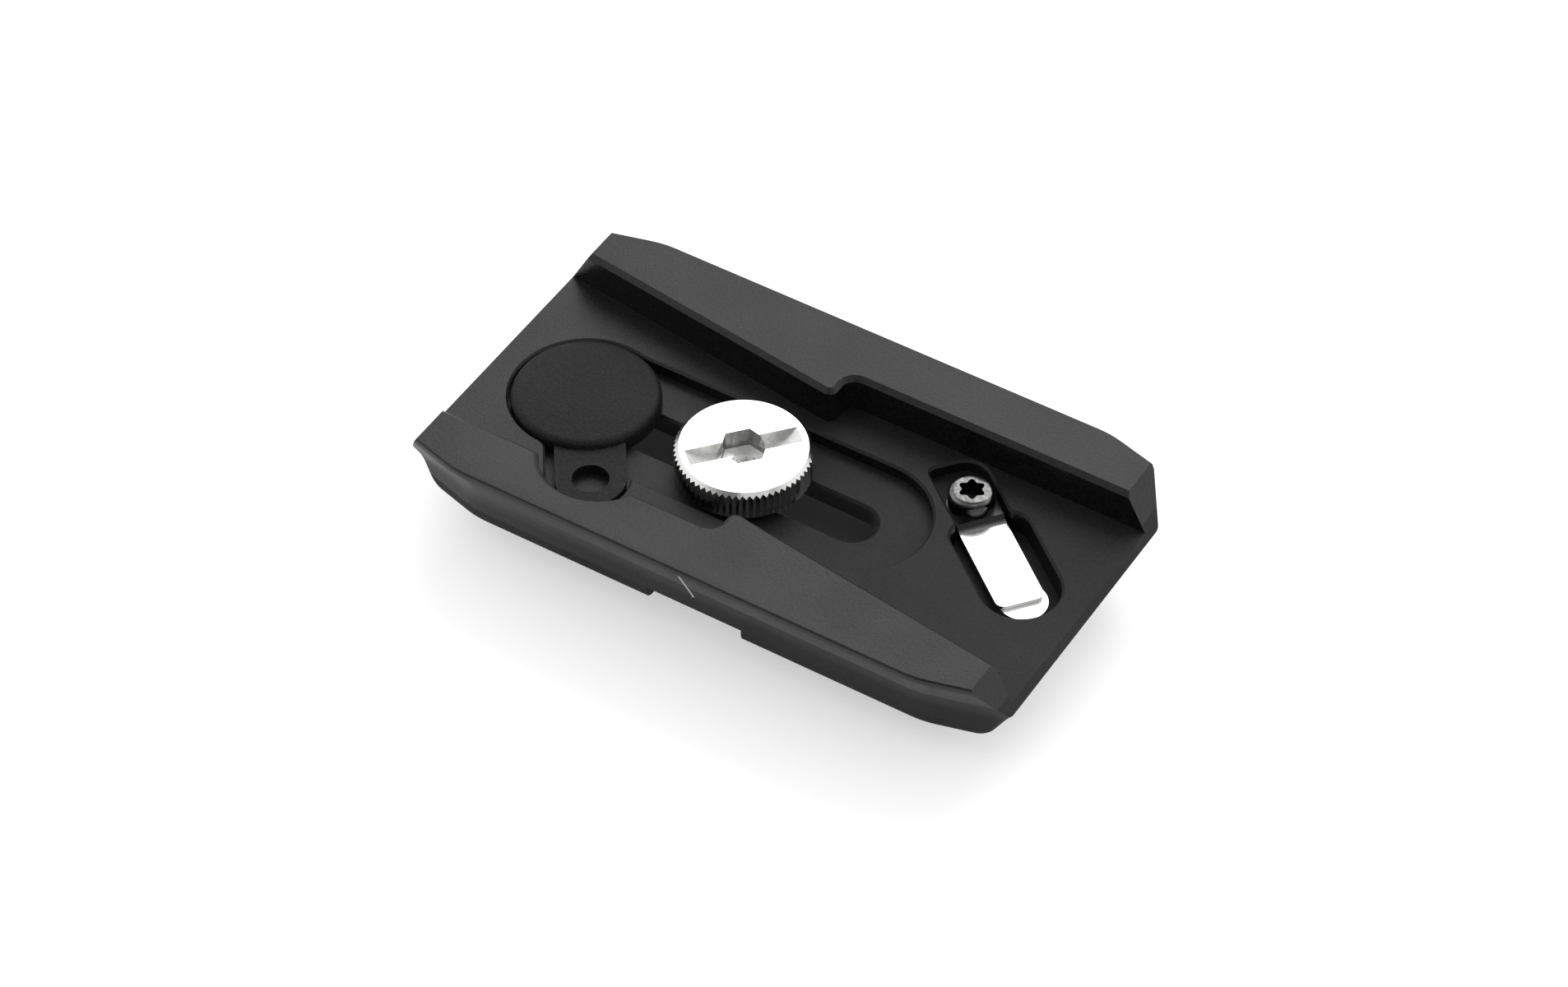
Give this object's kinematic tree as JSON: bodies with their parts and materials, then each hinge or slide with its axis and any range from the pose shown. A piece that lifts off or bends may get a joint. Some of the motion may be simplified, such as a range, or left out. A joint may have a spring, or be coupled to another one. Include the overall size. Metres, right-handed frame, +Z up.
{
  "type": "tripod quick release plate",
  "caption": "Dovetail camera plate with a sliding captive camera screw, a stowed coin key and a sprung video pin, shown clamp side up.",
  "frame": {"origin": "under the middle of the plate, at the height of the camera thread's tip", "axes": "+X along the plate, from the key towards the video pin; +Y across it; +Z up, out of the clamp side, so the camera side faces down"},
  "size_m": [0.0676, 0.038, 0.0142],
  "materials": {
    "plate_body": "black anodised",
    "pad": "fine grain",
    "camera_screw": "bright nickel",
    "slip_washer": "plain",
    "coin_key": "fine matte",
    "leaf_spring": "bright",
    "leaf_screw": "bright",
    "video_pin": "bright"
  },
  "bodies": {
    "plate": {"plate_body": "plate_body", "pad_left": "pad", "pad_right": "pad", "coin_key": "coin_key", "leaf_spring": "leaf_spring", "leaf_screw": "leaf_screw"},
    "slipper": {"slip_washer": "slip_washer"},
    "stud": {"camera_screw": "camera_screw"},
    "pin": {"video_pin": "video_pin"}
  },
  "joints": [
    {"name": "screw_slide", "type": "slide", "parent": "plate", "child": "slipper", "axis": [1, 0, 0], "range_m": [-0.0037, 0.0123]},
    {"name": "screw_turn", "type": "hinge", "parent": "slipper", "child": "stud", "pos_m": [-0.00449, 0, 0.011], "axis": [0, 0, 1], "continuous": true},
    {"name": "pin_press", "type": "slide", "parent": "plate", "child": "pin", "axis": [0, 0, 1], "range_m": [0, 0.0026], "stiffness_N_per_m": 1200, "springref_m": -0.0008, "deforming": ["leaf_spring"]}
  ]
}
